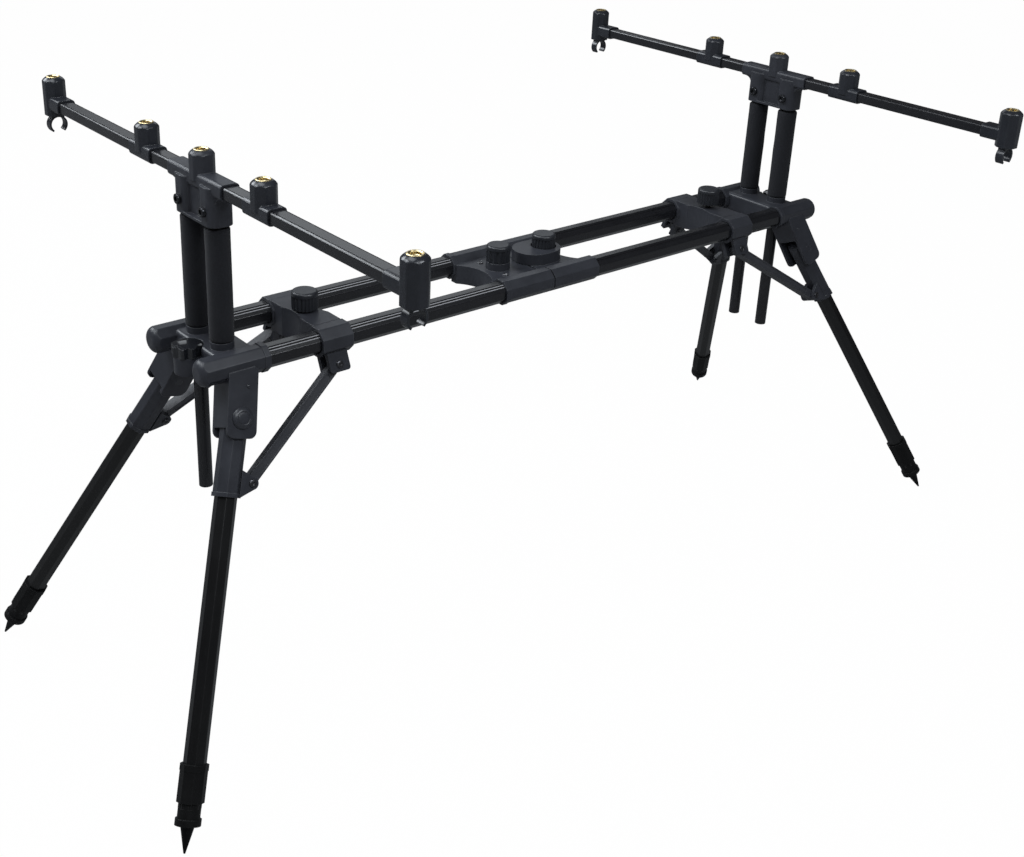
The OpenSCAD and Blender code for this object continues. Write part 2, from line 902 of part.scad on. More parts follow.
// Foot: a faceted sleeve with a lip, a round neck and the flange over the spike
module foot(end, side) {
    color(moulding)
        at_end(end)
            at_side(side)
                leg_frame()
                    difference() {
                        union() {
                            translate([0, 0, -foot_along - foot_sleeve_long])
                                linear_extrude(foot_sleeve_long)
                                    octagon(foot_across, rail_round);
                            translate([0, 0, -foot_along - lip_long])
                                linear_extrude(lip_long)
                                    octagon(foot_across + lip_high, rail_round);
                            translate([0, 0, -foot_along - foot_sleeve_long - neck_long])
                                cylinder(d = neck_d, h = neck_long);
                            translate([0, 0, -tip_along + spike_long])
                                cylinder(d = flange_d, h = flange_long);
                        }
                        translate([0, 0, -tube_end])
                            linear_extrude(tube_end - foot_along + lap)
                                octagon(leg_across + 2 * fixed_fit, rail_round);
                        translate([0, 0, -tip_along + spike_long - 1])
                            cylinder(d = spike_stud_d + 2 * pin_fit, h = spike_stud_long + 1.5);
                    }
}

module spike(end, side) {
    color(moulding)
        at_end(end)
            at_side(side)
                leg_frame()
                    translate([0, 0, -tip_along]) {
                        translate([0, 0, tip_r])
                            cylinder(r1 = tip_r, d2 = spike_d, h = spike_long - tip_r);
                        translate([0, 0, tip_r])
                            sphere(tip_r);
                        translate([0, 0, spike_long - 1])
                            cylinder(d = spike_stud_d, h = spike_stud_long + 1);
                    }
}

module strut(end, side) {
    color(moulding)
        at_end(end)
            at_side(side)
                strut_frame()
                    difference() {
                        along_y(-strut_thick / 2, strut_thick / 2)
                            difference() {
                                union() {
                                    translate([-strut_length, -strut_wide / 2])
                                        square([strut_length, strut_wide]);
                                    circle(eye_r);
                                    translate([-strut_length, 0])
                                        circle(eye_r);
                                }
                                circle(d = strut_bolt_d + 2 * pin_fit);
                                translate([-strut_length, 0])
                                    circle(d = strut_bolt_d + 2 * pin_fit);
                            }
                        for (s = [-1, 1])
                            translate([0, s * strut_thick / 2, 0])
                                along_y(-panel_deep, panel_deep)
                                    translate([-strut_length / 2, 0])
                                        polygon(rectangle_points(strut_length - 2 * panel_off,
                                                                 panel_wide, panel_wide / 2 - 0.2));
                    }
}

module strut_pin(end, side) {
    color(steel)
        at_end(end)
            at_side(side)
                leg_frame()
                    translate([-lug_out, 0, -lug_along])
                        rotate([90, 0, 0]) {
                            cylinder(d = strut_bolt_d, h = 2 * tab_outer, center = true);
                            for (s = [0, 1])
                                mirror([0, 0, s])
                                    translate([0, 0, tab_outer])
                                        cylinder(d = strut_head_d, h = strut_head_high);
                        }
}

// Tubes with a closed foot
module poles(end) {
    color(anodised)
        translate([end * upright_x, 0, 0])
            on_poles()
                difference() {
                    translate([0, 0, pole_top - pole_length])
                        cylinder(d = pole_d, h = pole_length);
                    translate([0, 0, pole_top - pole_length + 4])
                        cylinder(d = pole_d - 2 * pole_wall, h = pole_length);
                    translate([0, 0, boss_z + cross_up])
                        rotate([0, 90, 0])
                            cylinder(d = cross_d, h = boss_d, center = true);
                }
}

module foam_sleeves(end) {
    color(foam)
        translate([end * upright_x, 0, foam_z])
            on_poles()
                rotate_extrude()
                    polygon([
                        [pole_d / 2, 0],
                        [foam_d / 2 - foam_round, 0],
                        [foam_d / 2, foam_round],
                        [foam_d / 2, foam_length - foam_round],
                        [foam_d / 2 - foam_round, foam_length],
                        [pole_d / 2, foam_length]
                    ]);
}

// An octagonal socket with a domed top, from a given height up to its rim
module socket_body(z0) {
    intersection() {
        translate([0, 0, z0])
            linear_extrude(rim_z - z0)
                octagon(socket_across, socket_round);
        translate([0, 0, insert_top])
            nose(socket_out + lap, socket_edge, insert_top - z0 + 1);
    }
}

module insert_pocket() {
    translate([0, 0, insert_top - insert_long])
        cylinder(d = insert_d, h = insert_long + 1);
}

module bar_outline(gap) {
    polygon(rectangle_points(bar_wide + 2 * gap, bar_high + 2 * gap, bar_round + gap));
}

module bar_bracket(end) {
    z1 = bar_z - bar_high / 2 - saddle_wall;
    edge = pole_spacing / 2 + boss_d / 2;
    color(moulding)
        translate([end * upright_x, 0, 0])
            difference() {
                union() {
                    translate([0, 0, bar_z])
                        along_y(-bracket_half, bracket_half)
                            bar_outline(saddle_wall);
                    on_poles()
                        translate([0, 0, boss_z])
                            linear_extrude(bar_up)
                                rounded_square(boss_d, boss_round);
                    translate([-web_thick / 2, -pole_spacing / 2, boss_z])
                        cube([web_thick, pole_spacing, bar_up]);
                    translate([-boss_d / 2, -pole_spacing / 2, boss_z])
                        cube([boss_d, pole_spacing, web_foot]);
                    for (s = [0, 1])
                        mirror([0, s, 0])
                            along_x(-web_thick / 2, web_thick / 2)
                                difference() {
                                    translate([pole_spacing / 2, z1 - fillet_r])
                                        square([edge - pole_spacing / 2 + fillet_r - 1, fillet_r + 1]);
                                    translate([edge - 1 + fillet_r, z1 - fillet_r])
                                        circle(fillet_r);
                                }
                    socket_body(bar_z);
                }
                translate([0, 0, bar_z])
                    along_y(-bracket_half - 1, bracket_half + 1)
                        bar_outline(fixed_fit);
                on_poles() {
                    translate([0, 0, boss_z - 1])
                        cylinder(d = pole_d + 2 * pin_fit, h = pole_in + 1);
                    translate([0, 0, boss_z + cross_up])
                        rotate([0, 90, 0])
                            cylinder(d = cross_d, h = 2 * boss_d, center = true);
                }
                insert_pocket();
            }
}

// Heads on the near side of each bar bracket
module cross_bolts(end) {
    color(steel)
        translate([end * upright_x, 0, boss_z + cross_up])
            on_poles()
                rotate([0, 90, 0]) {
                    cylinder(d = cross_d, h = boss_d, center = true);
                    translate([0, 0, -boss_d / 2 - cross_head_high + 1])
                        cylinder(d = cross_head_d, h = cross_head_high - 1);
                }
}

module buzz_bar(end) {
    color(anodised)
        translate([end * upright_x, 0, bar_z])
            along_y(-bar_half, bar_half)
                difference() {
                    bar_outline(0);
                    for (s = [-1, 1])
                        translate([s * (bar_wide / 2 - bead_wide), bar_high / 2])
                            square([0.8, 1.2], center = true);
                }
}

// C-shaped clip under an end socket, open downwards
module clip() {
    translate([0, 0, clip_z])
        along_y(-clip_long / 2, clip_long / 2)
            difference() {
                union() {
                    circle(clip_r + clip_wall);
                    translate([-clip_r + 1, 0])
                        square([clip_d - 2, clip_r + clip_wall + clip_drop + lap]);
                }
                circle(clip_r);
                polygon([
                    [0, 0],
                    [-3 * clip_r * sin(clip_mouth), -3 * clip_r * cos(clip_mouth)],
                    [3 * clip_r * sin(clip_mouth), -3 * clip_r * cos(clip_mouth)]
                ]);
            }
}

module bar_sockets(end) {
    color(moulding)
        translate([end * upright_x, 0, 0])
            both_sides() {
                translate([0, -inner_socket_y, 0])
                    difference() {
                        union() {
                            translate([0, 0, bar_z])
                                along_y(-saddle_long / 2, saddle_long / 2)
                                    bar_outline(saddle_wall);
                            socket_body(bar_z);
                        }
                        translate([0, 0, bar_z])
                            along_y(-saddle_long, saddle_long)
                                bar_outline(fixed_fit);
                        insert_pocket();
                    }
                translate([0, -end_socket_y, 0])
                    difference() {
                        union() {
                            socket_body(bar_z - socket_down);
                            translate([0, 0, bar_z])
                                along_y(0, collar_long)
                                    bar_outline(saddle_wall);
                            clip();
                        }
                        translate([0, 0, bar_z])
                            along_y(1.5, collar_long + 1)
                                bar_outline(fixed_fit);
                        insert_pocket();
                    }
            }
}

module brass_inserts(end) {
    color(brass)
        translate([end * upright_x, 0, insert_top - insert_long])
            for (y = [-end_socket_y, -inner_socket_y, 0, inner_socket_y, end_socket_y])
                translate([0, y, 0])
                    difference() {
                        cylinder(d = insert_d, h = insert_long);
                        translate([0, 0, -1])
                            cylinder(d = thread_d, h = insert_long + 2);
                    }
}

near = -1;
far = 1;
front = -1;
rear = 1;

rails(-rail_end, -seam_off - slide_fit / 2);  // near_rails
rails(-seam_off + slide_fit / 2, rail_end);  // far_rails
inner_rails();
end_bracket(near);  // near_end_bracket
end_bracket(far);  // far_end_bracket
clevises(near);  // near_clevises
clevises(far);  // far_clevises
pivot_bolts(near);  // near_pivot_bolts
pivot_bolts(far);  // far_pivot_bolts
near_centre_block();
far_centre_block();
slider(near);  // near_slider
slider(far);  // far_slider
slider_bolts(near);  // near_slider_bolts
slider_bolts(far);  // far_slider_bolts
slider_knob(near);  // near_slider_knob
slider_knob(far);  // far_slider_knob
centre_knob(near);  // near_centre_knob
centre_knob(far);  // far_centre_knob
clamp_knob(near);  // near_clamp_knob
clamp_knob(far);  // far_clamp_knob
leg_socket(near, front);  // near_front_leg_socket
leg_socket(near, rear);  // near_rear_leg_socket
leg_socket(far, front);  // far_front_leg_socket
leg_socket(far, rear);  // far_rear_leg_socket
leg_tube(near, front);  // near_front_leg_tube
leg_tube(near, rear);  // near_rear_leg_tube
leg_tube(far, front);  // far_front_leg_tube
leg_tube(far, rear);  // far_rear_leg_tube
foot(near, front);  // near_front_foot
foot(near, rear);  // near_rear_foot
foot(far, front);  // far_front_foot
foot(far, rear);  // far_rear_foot
spike(near, front);  // near_front_spike
spike(near, rear);  // near_rear_spike
spike(far, front);  // far_front_spike
spike(far, rear);  // far_rear_spike
strut(near, front);  // near_front_strut
strut(near, rear);  // near_rear_strut
strut(far, front);  // far_front_strut
strut(far, rear);  // far_rear_strut
strut_pin(near, front);  // near_front_strut_pin
strut_pin(near, rear);  // near_rear_strut_pin
strut_pin(far, front);  // far_front_strut_pin
strut_pin(far, rear);  // far_rear_strut_pin
poles(near);  // near_poles
poles(far);  // far_poles
foam_sleeves(near);  // near_foam_sleeves
foam_sleeves(far);  // far_foam_sleeves
bar_bracket(near);  // near_bar_bracket
bar_bracket(far);  // far_bar_bracket
cross_bolts(near);  // near_cross_bolts
cross_bolts(far);  // far_cross_bolts
buzz_bar(near);  // near_buzz_bar
buzz_bar(far);  // far_buzz_bar
bar_sockets(near);  // near_bar_sockets
bar_sockets(far);  // far_bar_sockets
brass_inserts(near);  // near_brass_inserts
brass_inserts(far);  // far_brass_inserts
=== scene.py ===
import bpy
import bmesh
import json
import math
from mathutils import Matrix, Vector


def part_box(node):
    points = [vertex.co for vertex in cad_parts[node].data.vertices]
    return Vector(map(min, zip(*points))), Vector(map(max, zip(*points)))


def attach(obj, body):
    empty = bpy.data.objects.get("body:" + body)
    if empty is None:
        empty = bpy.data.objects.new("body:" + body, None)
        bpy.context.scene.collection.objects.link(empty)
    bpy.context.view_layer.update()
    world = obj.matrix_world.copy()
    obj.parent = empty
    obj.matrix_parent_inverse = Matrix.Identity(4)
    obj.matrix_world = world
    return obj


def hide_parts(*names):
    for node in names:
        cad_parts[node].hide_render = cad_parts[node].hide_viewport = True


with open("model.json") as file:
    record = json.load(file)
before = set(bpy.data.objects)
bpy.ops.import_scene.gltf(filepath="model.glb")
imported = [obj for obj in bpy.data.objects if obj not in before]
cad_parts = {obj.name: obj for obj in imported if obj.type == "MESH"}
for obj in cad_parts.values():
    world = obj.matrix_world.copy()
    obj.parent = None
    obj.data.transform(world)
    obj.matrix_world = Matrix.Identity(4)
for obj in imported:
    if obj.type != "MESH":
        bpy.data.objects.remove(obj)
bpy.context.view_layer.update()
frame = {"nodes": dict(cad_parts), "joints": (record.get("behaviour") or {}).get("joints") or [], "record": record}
nodes, record = frame["nodes"], frame["record"]
joints = {joint["name"]: joint for joint in frame["joints"]}
mm = 0.001
hair = 1e-6     # in metres, closer than this is the same place
ends = {"near": -1, "far": 1}
sides = {"front": -1, "rear": 1}

# where the solids are, in mm
layout = {
    "upright": 403.5,       # poles and bar, along the rails
    "poleSide": 23.0,
    "stations": (-322.0, -107.3, 0.0, 107.3, 322.0),    # inserts along the bar
    "insertTop": 577.992,
    "crossHeight": 526.692,
    "crossFace": 13.0,      # from the poles' middle to the face with the cross bolts
    "slider": 297.105,
    "sliderTop": 395.992,
    "boltDrop": 17.5,       # strut bolts, down the leg's plane from the rail
    "tabOuter": 10.2,
    "tabThick": 4.6,
    "cheekOuter": 15.7,
    "deckTop": 386.892,
}
# a leg's leaning plane, through the middle of its rail, also in mm
legPlane = {"tilt": math.radians(23.33), "height": 371.092, "across": 46.0}
print("frame loaded:", len(nodes), "nodes")

# camera and stage
viewpoint = {
    "place": (-0.97575, -1.07856, 0.93008),
    "turn": (66.041, -2.2117, -39.3575),
    "lens": 48.19,
    "sensor": 36,
    "shift": (0.02664, -0.0859),
    "nearest": 0.05,
}
studio = {
    "floorSize": 40.0,
    "floorHeight": -0.0003,
    "floorTone": (0.52, 0.52, 0.53),
    "floorRough": 0.9,
    "floorShine": 0.1,
    "speckle": 3.0,         # scale of the faint change in the floor's tone
    "speckleTone": 0.985,
    "floorGlow": 0.988,     # share of plain white in what the camera sees of the floor
    "floorGloss": 0.23,     # brightness of the floor where pieces mirror it
    "roomGloss": 0.045,     # and of the room above it
    "sky": 0.165,
    "tint": (0.90, 0.95, 1.0),
    # name, place, aimed at, size, watts
    "lamps": [
        ("frontLamp", (-0.9, -1.6, 2.1), (-0.35, 0.0, 0.3), (1.0, 0.8), 15),
        ("leftLamp", (-1.9, 0.7, 2.3), (-0.3, 0.0, 0.4), (1.0, 0.8), 29),
        ("topLamp", (-0.8, 0.05, 2.25), (-0.3, 0.0, 0.4), (1.2, 0.8), 17),
        ("backLamp", (1.62, 2.76, 2.2), (0.1, 0.0, 0.4), (2.45, 1.5), 11.3),
        ("sideLamp", (0.35, -1.9, 2.3), (-0.4, -0.1, 0.35), (1.0, 0.8), 33),
        ("edgeLamp", (-1.4, 2.3, 2.1), (-0.35, -0.15, 0.5), (1.5, 1.2), 60),
    ],
}


class Wire:
    # a shader socket that takes plain sums
    def __init__(self, tree, socket=None):
        self.tree, self.socket = tree, socket

    def node(self, kind, settings=None, sockets=None, out=0):
        made = self.tree.nodes.new("ShaderNode" + kind)
        for key, value in (settings or {}).items():
            setattr(made, key, value)
        self.fill(made, sockets or {})
        return Wire(self.tree, made.outputs[out])

    def fill(self, target, sockets):
        # a wire is linked, any other value is set
        for key, value in sockets.items():
            if isinstance(value, Wire):
                self.tree.links.new(value.socket, target.inputs[key])
            else:
                target.inputs[key].default_value = value

    def maths(self, operation, *values):
        return self.node("Math", {"operation": operation}, dict(enumerate(values)))

    def __add__(self, other):
        return self.maths("ADD", self, other)

    def __sub__(self, other):
        return self.maths("SUBTRACT", self, other)

    def __rsub__(self, other):
        return self.maths("SUBTRACT", other, self)

    def __mul__(self, other):
        return self.maths("MULTIPLY", self, other)

    def __abs__(self):
        return self.maths("ABSOLUTE", self)

    __radd__, __rmul__ = __add__, __mul__

    def root(self):
        return self.maths("SQRT", self)

    def between(self, low, high):
        # 0 at low, 1 at high
        return self.node("MapRange", {"clamp": True}, {0: self, 1: low, 2: high, 3: 0.0, 4: 1.0})

    def blend(self, first, second):
        # colours mixed by this mask
        first, second = (tone if isinstance(tone, Wire) else (*tone, 1) for tone in (first, second))
        return self.node("Mix", {"data_type": "RGBA"}, {0: self, 6: first, 7: second}, 2)

    def along(self, axis):
        return self.node("SeparateXYZ", sockets={0: self}, out=axis)

    def noise(self, scale, detail=2.0, rough=0.5, swirl=0.0):
        # cloudy noise at this place
        shape = {"Scale": scale, "Detail": detail, "Roughness": rough, "Distortion": swirl}
        return self.node("TexNoise", sockets={"Vector": self, **shape})

    def bump(self, strength, deep, normal=None):
        # this height as a bumped normal, deep in mm
        sockets = {"Strength": strength, "Distance": deep * mm, "Height": self}
        if normal:
            sockets["Normal"] = normal
        return self.node("Bump", sockets=sockets)


def newFinish(name):
    made = bpy.data.materials.new(name)
    made.use_nodes = True
    start = Wire(made.node_tree)
    return made, made.node_tree.nodes["Principled BSDF"], start, start.node("TexCoord", out="Object")


edgeLook = {"samples": 6, "turn": (0.01, 0.22)}     # 1 - cosine where an edge starts and where it is full


def softEdges(start, radius):
    # rounded normal for crisp solids, and a mask of where the edges are
    soft = start.node("Bevel", {"samples": edgeLook["samples"]}, {"Radius": radius * mm})
    flat = start.node("NewGeometry", out="Normal")
    facing = start.node("VectorMath", {"operation": "DOT_PRODUCT"}, {0: soft, 1: flat}, "Value")
    return soft, (1 - facing).between(*edgeLook["turn"])


def viewRays(start):
    # rays that see a surface straight or through glass, and rays that a piece mirrors
    camera = start.node("LightPath", out="Is Camera Ray")
    through = start.node("LightPath", out="Is Transmission Ray")
    return camera + through, start.node("LightPath", out="Is Glossy Ray")


def makeCamera(look):
    bpy.ops.object.select_all(action="DESELECT")
    turn = [math.radians(angle) for angle in look["turn"]]
    bpy.ops.object.camera_add(location=look["place"], rotation=turn)
    eye = bpy.context.object
    eye.name = "photoCamera"
    eye.data.lens = look["lens"]
    eye.data.sensor_width = look["sensor"]
    eye.data.shift_x, eye.data.shift_y = look["shift"]
    eye.data.clip_start = look["nearest"]
    bpy.context.scene.camera = eye


def makeFloor(look):
    bpy.ops.mesh.primitive_plane_add(size=look["floorSize"], location=(0, 0, look["floorHeight"]))
    floor = bpy.context.object
    floor.name = "studioFloor"
    made, shader, start, place = newFinish("paleFloor")
    straight, gloss = viewRays(start)
    tone = look["floorTone"]
    start.fill(shader, {
        "Base Color": place.noise(look["speckle"]).blend(tone, [part * look["speckleTone"] for part in tone]),
        "Roughness": look["floorRough"],
        "Specular IOR Level": look["floorShine"],
    })
    white = start.node("Emission", sockets={
        "Color": gloss.blend((1, 1, 1), look["tint"]),
        "Strength": straight + gloss * look["floorGloss"],
    })
    share = straight * look["floorGlow"] + gloss
    mixed = start.node("MixShader", sockets={0: share, 1: Wire(start.tree, shader.outputs[0]), 2: white})
    start.fill(start.tree.nodes["Material Output"], {"Surface": mixed})
    floor.data.materials.append(made)


def makeRoom(look):
    world = bpy.data.worlds.new("studioWorld")
    world.use_nodes = True
    bpy.context.scene.world = world
    start = Wire(world.node_tree)
    straight, gloss = viewRays(start)
    level = straight + gloss * look["roomGloss"] + (1 - (straight + gloss)) * look["sky"]
    start.fill(world.node_tree.nodes["Background"], {"Color": (1, 1, 1, 1), "Strength": level})


def makeLamps(look):
    for name, place, aim, size, power in look["lamps"]:
        bpy.ops.object.light_add(type="AREA", location=place)
        lamp = bpy.context.object
        lamp.name = name
        lamp.data.shape = "RECTANGLE"
        lamp.data.size, lamp.data.size_y = size
        lamp.data.energy = power
        lamp.data.color = look["tint"]
        lamp.rotation_euler = (Vector(aim) - Vector(place)).to_track_quat("-Z", "Y").to_euler()


makeCamera(viewpoint)
makeFloor(studio)
makeRoom(studio)
makeLamps(studio)
bpy.context.scene.view_settings.view_transform = "Standard"
print("stage and camera ready")

# moulded plastics; the depth of the grain and the rounding of edges are in mm
mouldings = {
    "moulding": {
        # the pale edge colour is a painted highlight along the edges, besides wear
        "dark": (0.0190, 0.0200, 0.0245), "light": (0.0270, 0.0285, 0.0345), "worn": (0.110, 0.112, 0.120),
        "shine": 0.30, "rough": 0.36, "grain": 2100, "deep": 0.05, "edge": 0.9,
    },
    "socket": {
        # the pale edge colour is a painted highlight along the edges, besides wear
        "dark": (0.0120, 0.0132, 0.0165), "light": (0.0175, 0.0190, 0.0235), "worn": (0.120, 0.122, 0.130),
        "shine": 0.42, "rough": 0.23, "grain": 2300, "deep": 0.012, "edge": 0.9,
    },
    "knob": {
        "dark": (0.0125, 0.0135, 0.0165), "light": (0.0180, 0.0195, 0.0235), "worn": (0.050, 0.052, 0.058),
        "shine": 0.42, "rough": 0.34, "grain": 2000, "deep": 0.045, "edge": 0.5,
    },
    "strut": {
        "dark": (0.0230, 0.0240, 0.0285), "light": (0.0325, 0.0335, 0.0390), "worn": (0.066, 0.067, 0.073),
        "shine": 0.42, "rough": 0.44, "grain": 1700, "deep": 0.09, "edge": 0.5,
    },
    "foot": {
        "dark": (0.0030, 0.0030, 0.0032), "light": (0.0050, 0.0050, 0.0053), "worn": (0.034, 0.033, 0.032),
        "shine": 0.2, "rough": 0.45, "grain": 1900, "deep": 0.07, "edge": 0.6,
    },
    "pivot_cap": {
        "dark": (0.0185, 0.0195, 0.0240), "light": (0.0260, 0.0275, 0.0330), "worn": (0.056, 0.058, 0.064),
        "shine": 0.45, "rough": 0.30, "grain": 2400, "deep": 0.02, "edge": 0.6,
    },
    "clamp": {
        "dark": (0.0060, 0.0064, 0.0080), "light": (0.0095, 0.0100, 0.0122), "worn": (0.034, 0.034, 0.038),
        "shine": 0.45, "rough": 0.16, "grain": 1500, "deep": 0.01, "edge": 0.8,
        "coat": 0.6, "coatRough": 0.06,
    },
}
plasticSkin = {
    "cloud": (31.0, 4.0, 0.6),          # a noise's scale, detail and roughness
    "flow": (140.0, 3.0, 0.5, 1.5),     # marks of the plastic's flow, with a swirl
    "grain": (2.0, 0.7),                # each plastic gives the scale
    "tone": (0.3, 0.7),
    "wear": (0.30, 0.65),               # where in the cloud an edge takes its pale colour, rubbed wear together with a painted highlight
    "wearMost": 0.6,
    "cloudRough": 0.16,
    "flowRough": 0.08,
    "wearRough": 0.08,
    "flowBump": 0.5,
    "bump": 0.35,
    "bend": 1.46,                       # of light
}


def mouldedPlastic(name, look, skin):
    made, shader, start, place = newFinish(name)
    cloud = place.noise(*skin["cloud"])
    grain = place.noise(look["grain"], *skin["grain"])
    flow = place.noise(*skin["flow"])
    soft, edge = softEdges(start, look["edge"])
    # edges take a paler colour: rubbed wear, and in moulding and socket a painted highlight along the edges
    worn = edge * cloud.between(*skin["wear"]) * skin["wearMost"]
    plain = cloud.between(*skin["tone"]).blend(look["dark"], look["light"])
    rough = look["rough"] + (cloud - 0.5) * skin["cloudRough"] + (flow - 0.5) * skin["flowRough"]
    start.fill(shader, {
        "Base Color": worn.blend(plain, look["worn"]),
        "Roughness": rough - worn * skin["wearRough"],
        "Normal": (grain + flow * skin["flowBump"]).bump(skin["bump"], look["deep"], soft),
        "IOR": skin["bend"],
        "Specular IOR Level": look["shine"],
    })
    if "coat" in look:
        start.fill(shader, {"Coat Weight": look["coat"], "Coat Roughness": look["coatRough"]})
    return made


# anodised tubes
metals = {
    "rail": {
        "dark": (0.0055, 0.0056, 0.0068), "light": (0.0085, 0.0087, 0.0104), "worn": (0.040, 0.040, 0.044),
        "shine": 0.5, "rough": 0.25, "edge": 0.2,
    },
    "inner_rail": {
        "dark": (0.020, 0.020, 0.022), "light": (0.032, 0.032, 0.034), "worn": (0.08, 0.08, 0.085),
        "shine": 0.5, "rough": 0.34, "edge": 0.4,
    },
    "bar": {
        "dark": (0.0065, 0.0067, 0.0082), "light": (0.0100, 0.0102, 0.0122), "worn": (0.050, 0.050, 0.055),
        "shine": 0.5, "rough": 0.23, "edge": 0.2,
    },
    "pole": {
        "dark": (0.0075, 0.0076, 0.0092), "light": (0.0115, 0.0116, 0.0138), "worn": (0.036, 0.036, 0.040),
        "shine": 0.5, "rough": 0.28, "edge": 0.5,
    },
    "leg": {
        "dark": (0.0018, 0.0018, 0.0021), "light": (0.0034, 0.0034, 0.0039), "worn": (0.006, 0.006, 0.007),
        "shine": 0.55, "rough": 0.32, "edge": 0.25,
    },
}
tubeSkin = {
    "lines": (3.0, 900.0, 900.0),       # scale along and across the tube
    "lineDetail": 3.0,
    "bands": (6.0, 90.0, 90.0),
    "bandDetail": 2.0,
    "cloud": (22.0, 5.0, 0.62),
    "lineTone": 0.35,
    "cloudTone": 0.65,
    "tone": (0.3, 0.7),
    "wear": (0.5, 0.75),
    "wearMost": 0.4,
    "uneven": 0.08,                     # of the roughness
    "bandBump": 0.6,
    "bump": 0.12,
    "deep": 0.02,
    "bend": 1.5,
}
# a groove's place from the middle of its rail and its widths, in mm; a fade is a factor on a width
grooveLook = {
    "side": 6.79, "up": 9.05, "half": 0.82, "halfFade": 1.25, "lip": 1.65, "lipFade": 1.2,
    # pale is a painted highlight on the lips, the dark colour a painted shade in the groove
    "pale": (0.24, 0.24, 0.25), "black": (0.002, 0.002, 0.002), "rough": 0.9,
}


def grooveMasks(place, look):
    # the sunk line on each upper bevel of the near rails, and its lips; the line gets a painted shade and the lips
    # a painted highlight
    low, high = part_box("near_rails")
    middle = (low + high) / 2
    fromRail = abs(place.along("Y") - middle.y) - legPlane["across"] * mm
    side = abs(fromRail) - look["side"] * mm
    rise = place.along("Z") - (middle.z + look["up"] * mm)
    gap = (side * side + rise * rise).root()
    sunk = 1 - gap.between(look["half"] * mm, look["half"] * look["halfFade"] * mm)
    lips = 1 - gap.between(look["lip"] * mm, look["lip"] * look["lipFade"] * mm)
    return sunk, lips


def anodisedTube(name, look, along, skin, groove=None):
    # extrusion lines run along the tube
    made, shader, start, place = newFinish(name)
    turn = Vector(along).to_track_quat("X", "Z").inverted().to_euler()
    turned = start.node("Mapping", sockets={"Vector": place, "Rotation": turn})
    lineSpace = start.node("Mapping", sockets={"Vector": turned, "Scale": skin["lines"]})
    bandSpace = start.node("Mapping", sockets={"Vector": turned, "Scale": skin["bands"]})
    lines = lineSpace.noise(1.0, skin["lineDetail"])
    bands = bandSpace.noise(1.0, skin["bandDetail"])
    cloud = turned.noise(*skin["cloud"])
    soft, edge = softEdges(start, look["edge"])
    worn = edge * cloud.between(*skin["wear"]) * skin["wearMost"]
    tone = (lines * skin["lineTone"] + cloud * skin["cloudTone"]).between(*skin["tone"])
    colour = worn.blend(tone.blend(look["dark"], look["light"]), look["worn"])
    rough = look["rough"] + (lines - 0.5) * skin["uneven"] + (cloud - 0.5) * skin["uneven"]
    if groove:
        sunk, lips = grooveMasks(place, groove)
        # painted shade in the groove, painted highlight on its lips
        colour = sunk.blend(lips.blend(colour, groove["pale"]), groove["black"])
        rough = rough + sunk * (groove["rough"] - look["rough"])
    start.fill(shader, {
        "Base Color": colour,
        "Roughness": rough,
        "Normal": (lines + bands * skin["bandBump"]).bump(skin["bump"], skin["deep"], soft),
        "IOR": skin["bend"],
        "Specular IOR Level": look["shine"],
    })
    return made


foamLook = {
    "dark": (0.0056, 0.0060, 0.0080), "light": (0.0125, 0.0132, 0.0168),
    "cells": 1250.0,
    "cellWall": (0.15, 0.6),
    "fine": (2600.0, 2.0),
    "cloud": (26.0, 4.0),
    "mix": (0.5, 0.3, 0.3),     # of cells, fine grain and cloud in the tone
    "tone": (0.2, 0.85),
    "rough": 0.9,
    "uneven": 0.12,
    "fineBump": 0.6,
    "cloudBump": 0.4,
    "bump": 0.5,
    "deep": 0.12,
    "shine": 0.2,
    "sheen": 0.05,
    "sheenRough": 0.6,
}


def cellFoam(name, look):
    made, shader, start, place = newFinish(name)
    shape = {"Vector": place, "Scale": look["cells"], "Randomness": 1.0}
    pores = start.node("TexVoronoi", {"feature": "F1"}, shape).between(*look["cellWall"])
    fine = place.noise(*look["fine"])
    cloud = place.noise(*look["cloud"])
    poreMix, fineMix, cloudMix = look["mix"]
    tone = (pores * poreMix + fine * fineMix + cloud * cloudMix).between(*look["tone"])
    height = fine * look["fineBump"] - pores + cloud * look["cloudBump"]
    start.fill(shader, {
        "Base Color": tone.blend(look["light"], look["dark"]),
        "Roughness": look["rough"] + (cloud - 0.5) * look["uneven"],
        "Normal": height.bump(look["bump"], look["deep"]),
        "Specular IOR Level": look["shine"],
        "Sheen Weight": look["sheen"],
        "Sheen Roughness": look["sheenRough"],
    })
    return made


brassLook = {
    "pale": (0.66, 0.55, 0.31), "deep": (0.40, 0.29, 0.13),
    "rings": 9000.0,            # tool marks, in radians for each metre of radius
    "cloud": (260.0, 4.0),
    "tarnish": (700.0, 3.0),
    "tarnished": (0.45, 0.75),
    "cloudTone": 0.6,
    "tarnishTone": 0.4,
    "tone": (0.3, 0.8),
    "rough": 0.26,
    "ringRough": 0.08,
    "tarnishRough": 0.14,
    "cloudBump": 0.5,
    "bump": 0.15,
    "bumpDeep": 0.02,
}


def insertRadius(place):
    # distance from the axis of the nearest insert, with both bars and their halves folded together
    fromBar = abs(abs(place.along("X")) - layout["upright"] * mm)
    side = abs(place.along("Y"))
    nearest = None
    for station in layout["stations"]:
        if station >= 0:
            gap = abs(side - station * mm)
            nearest = gap.maths("MINIMUM", nearest, gap) if nearest else gap
    return (fromBar * fromBar + nearest * nearest).root()


